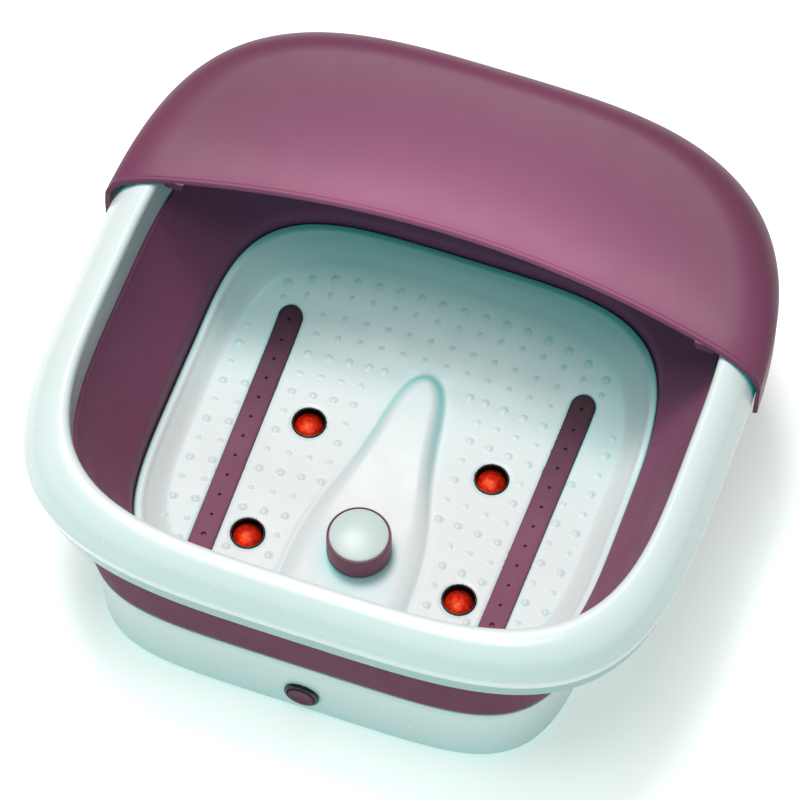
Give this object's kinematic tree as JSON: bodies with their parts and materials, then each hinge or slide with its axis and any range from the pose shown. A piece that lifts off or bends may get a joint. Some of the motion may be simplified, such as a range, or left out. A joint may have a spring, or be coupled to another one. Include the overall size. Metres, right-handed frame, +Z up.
{
  "type": "foot spa basin",
  "caption": "Foot bath with a white housing, plum basin, foot bed with massage nubs, bubble strips, lamps, a removable massage pad and a lift-off splash guard.",
  "frame": {"origin": "centre of the bounding box at the bottom of the rubber feet", "axes": "+Z up, -Y towards the front with the button, +X to the user's right when facing the front"},
  "size_m": [0.3856, 0.363, 0.1678],
  "materials": {
    "white_plastic": "satin",
    "plum_plastic": "satin",
    "liner_plastic": "satin",
    "red_lens": "polished",
    "lamp_glass": "polished",
    "black_plastic": "matte",
    "pearl_plastic": "satin",
    "rubber": "matte",
    "board": "matte",
    "hose": "satin",
    "grey_plastic": "matte",
    "steel": "brushed"
  },
  "bodies": {
    "housing": {"base_shell": "white_plastic", "bottom_cover": "white_plastic", "mid_band": "plum_plastic", "inner_basin": "liner_plastic", "rim_ring": "white_plastic", "foot_bed": "white_plastic", "bubble_strip_left": "plum_plastic", "bubble_strip_right": "plum_plastic", "lamp_bezel_front_left": "black_plastic", "lamp_lens_front_left": "red_lens", "lamp_led_front_left": "lamp_glass", "lamp_bezel_front_right": "black_plastic", "lamp_lens_front_right": "red_lens", "lamp_led_front_right": "lamp_glass", "lamp_bezel_back_left": "black_plastic", "lamp_lens_back_left": "red_lens", "lamp_led_back_left": "lamp_glass", "lamp_bezel_back_right": "black_plastic", "lamp_lens_back_right": "red_lens", "lamp_led_back_right": "lamp_glass", "button_bezel": "black_plastic", "button_spring": "steel", "button_switch": "black_plastic", "control_board": "board", "vibration_motor": "steel", "motor_bracket": "grey_plastic", "blower_housing": "grey_plastic", "blower_cover": "grey_plastic", "blower_motor": "steel", "air_hose_left": "hose", "air_hose_right": "hose", "heater_plate": "steel", "thermostat": "black_plastic", "power_board": "board", "cord_gland": "black_plastic", "rubber_foot_1": "rubber", "rubber_foot_2": "rubber", "rubber_foot_3": "rubber", "rubber_foot_4": "rubber", "cover_screw_1": "steel", "cover_screw_2": "steel", "cover_screw_3": "steel", "cover_screw_4": "steel", "cover_screw_5": "steel", "cover_screw_6": "steel"},
    "guard": {"splash_guard": "plum_plastic"},
    "attachment": {"attachment_collar": "plum_plastic", "attachment_pad": "pearl_plastic"},
    "button": {"function_button": "plum_plastic"},
    "shaker": {"motor_shaft": "steel", "eccentric_weight": "steel"},
    "impeller": {"blower_impeller": "grey_plastic"}
  },
  "joints": [
    {"name": "guard_lift", "type": "slide", "parent": "housing", "child": "guard", "axis": [0, 0, 1], "range_m": [0, 0.08]},
    {"name": "attachment_pull", "type": "slide", "parent": "housing", "child": "attachment", "axis": [0, 0, 1], "range_m": [0, 0.03]},
    {"name": "button_press", "type": "slide", "parent": "housing", "child": "button", "axis": [0, 1, 0], "range_m": [0, 0.0025], "stiffness_N_per_m": 600, "deforming": ["button_spring"]},
    {"name": "shaker_spin", "type": "hinge", "parent": "housing", "child": "shaker", "pos_m": [0, 0.02, 0.0136], "axis": [0, 1, 0], "continuous": true},
    {"name": "impeller_spin", "type": "hinge", "parent": "housing", "child": "impeller", "pos_m": [-0.048, 0.114, 0.015], "axis": [0, 0, 1], "continuous": true}
  ]
}
